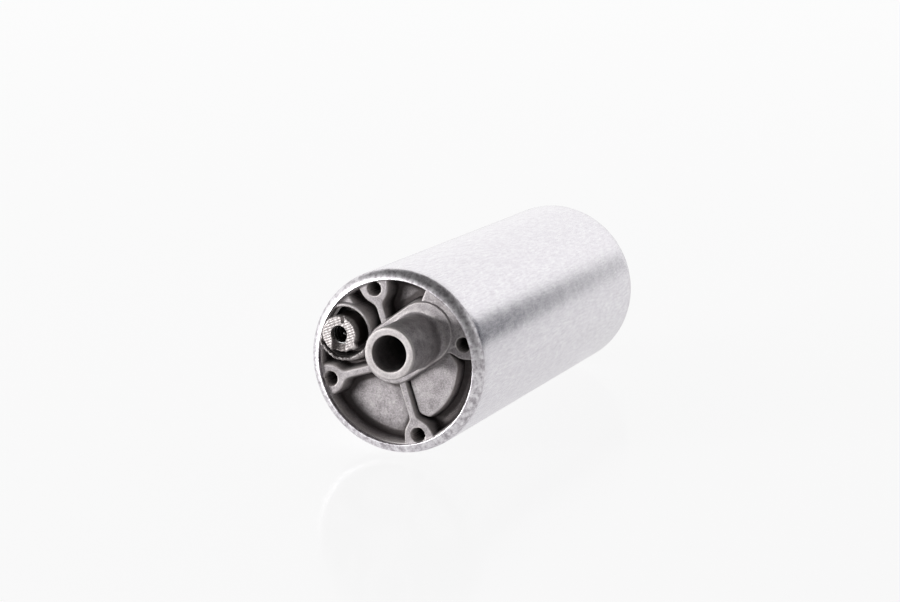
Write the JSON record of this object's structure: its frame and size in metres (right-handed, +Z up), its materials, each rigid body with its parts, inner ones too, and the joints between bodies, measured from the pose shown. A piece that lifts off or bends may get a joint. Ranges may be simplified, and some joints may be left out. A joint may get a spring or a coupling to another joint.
{
  "type": "electric fuel pump",
  "caption": "In-line electric fuel pump: a toothed-ring stage and a brushed motor in a rolled aluminium can, with a cast inlet cover, relief valve and moulded outlet end.",
  "frame": {"origin": "middle of the can, on its axis", "axes": "+Y along the can from the inlet cover to the outlet, +X to the right seen from the inlet, +Z up"},
  "size_m": [0.043, 0.1415, 0.043],
  "materials": {
    "can_aluminium": "drawn, satin, faint streaks along the can",
    "die_cast": "die cast, matte and grainy",
    "bright_steel": "turned or ground bright",
    "sintered_steel": "sintered and ground",
    "zinc_steel": "zinc plated, dull",
    "core_steel": "stacked sheet steel",
    "ferrite": "pressed ferrite, dull black",
    "bronze": "sintered bronze",
    "brass_stud": "turned brass",
    "copper": "enamelled copper wire and bare copper",
    "black_plastic": "glass filled nylon, moulded",
    "pale_plastic": "acetal",
    "carbon": "pressed carbon",
    "seal_rubber": "fuel resistant rubber",
    "spring_steel": "drawn spring wire"
  },
  "bodies": {
    "housing": {"can": "can_aluminium", "inlet_cover": "die_cast", "cover_seal": "seal_rubber", "relief_sleeve": "bright_steel", "relief_spring": "spring_steel", "pump_ring": "sintered_steel", "port_plate": "die_cast", "dowel_pins": "bright_steel", "pump_screws": "zinc_steel", "front_bush": "bronze", "rear_bush": "bronze", "flux_ring": "zinc_steel", "magnet_left": "ferrite", "magnet_right": "ferrite", "magnet_springs": "spring_steel", "end_bell": "black_plastic", "bell_seal": "seal_rubber", "brush_spring_left": "spring_steel", "brush_spring_right": "spring_steel", "check_seat": "brass_stud", "check_spring": "spring_steel", "choke_positive": "copper", "choke_negative": "copper", "link_positive": "copper", "link_negative": "copper", "terminal_positive": "brass_stud", "terminal_negative": "brass_stud", "washer_positive": "zinc_steel", "washer_negative": "zinc_steel", "nut_positive": "zinc_steel", "nut_negative": "zinc_steel"},
    "armature": {"shaft": "bright_steel", "drive_pin": "bright_steel", "inner_rotor": "sintered_steel", "armature_core": "core_steel", "windings": "copper", "commutator": "copper", "front_washer": "pale_plastic", "rear_washer": "pale_plastic"},
    "ring_body": {"gear_ring": "sintered_steel"},
    "relief_body": {"relief_ball": "bright_steel"},
    "check_body": {"check_valve": "pale_plastic"},
    "brush_left_body": {"brush_left": "carbon"},
    "brush_right_body": {"brush_right": "carbon"}
  },
  "joints": [
    {"name": "armature_spin", "type": "hinge", "parent": "housing", "child": "armature", "pos_m": [0, 0, 0], "axis": [0, 1, 0], "continuous": true},
    {"name": "gear_ring_spin", "type": "hinge", "parent": "housing", "child": "ring_body", "pos_m": [0.00078, 0, -0.00078], "axis": [0, 1, 0], "continuous": true},
    {"name": "relief_slide", "type": "slide", "parent": "housing", "child": "relief_body", "axis": [0, -1, 0], "range_m": [0, 0.0012], "stiffness_N_per_m": 1500, "deforming": ["relief_spring"]},
    {"name": "check_slide", "type": "slide", "parent": "housing", "child": "check_body", "axis": [0, 1, 0], "range_m": [0, 0.0025], "stiffness_N_per_m": 300, "deforming": ["check_spring"]},
    {"name": "brush_left_slide", "type": "slide", "parent": "housing", "child": "brush_left_body", "axis": [0, 1, 0], "range_m": [0, 0.002], "stiffness_N_per_m": 400, "deforming": ["brush_spring_left"]},
    {"name": "brush_right_slide", "type": "slide", "parent": "housing", "child": "brush_right_body", "axis": [0, 1, 0], "range_m": [0, 0.002], "stiffness_N_per_m": 400, "deforming": ["brush_spring_right"]}
  ],
  "couplings": [
    {"joint": "gear_ring_spin", "follows": "armature_spin", "ratio": 0.85714}
  ]
}
